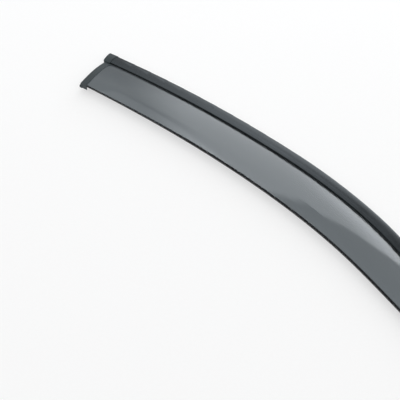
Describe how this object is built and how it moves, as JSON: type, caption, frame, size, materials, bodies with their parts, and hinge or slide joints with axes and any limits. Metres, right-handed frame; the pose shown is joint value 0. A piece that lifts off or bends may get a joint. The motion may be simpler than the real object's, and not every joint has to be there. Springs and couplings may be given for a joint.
{
  "type": "window rain deflector",
  "caption": "Long arched rain deflector for a car's side window: smoked convex pane, domed black trim strip, capped rear end, pointed nose and stick-on foam tape.",
  "frame": {"origin": "on the tape's outer face, at the tape's centre line, where the roof run of the window line meets its brow", "axes": "+X forward along the window line, +Y up the door, +Z out from the door"},
  "size_m": [0.7046, 0.1359, 0.0149],
  "materials": {
    "smoked_pane": "polished smoked acrylic, see-through",
    "trim_strip": "gloss black coated steel",
    "end_caps": "satin black moulding",
    "foam_tape": "closed-cell acrylic foam",
    "release_liner": "smooth peel-off film"
  },
  "bodies": {
    "root": {"visor_pane": "smoked_pane", "trim_strip": "trim_strip", "rear_end_cap": "end_caps", "nose_cap": "end_caps", "foam_tape": "foam_tape", "release_liner": "release_liner"}
  },
  "joints": []
}
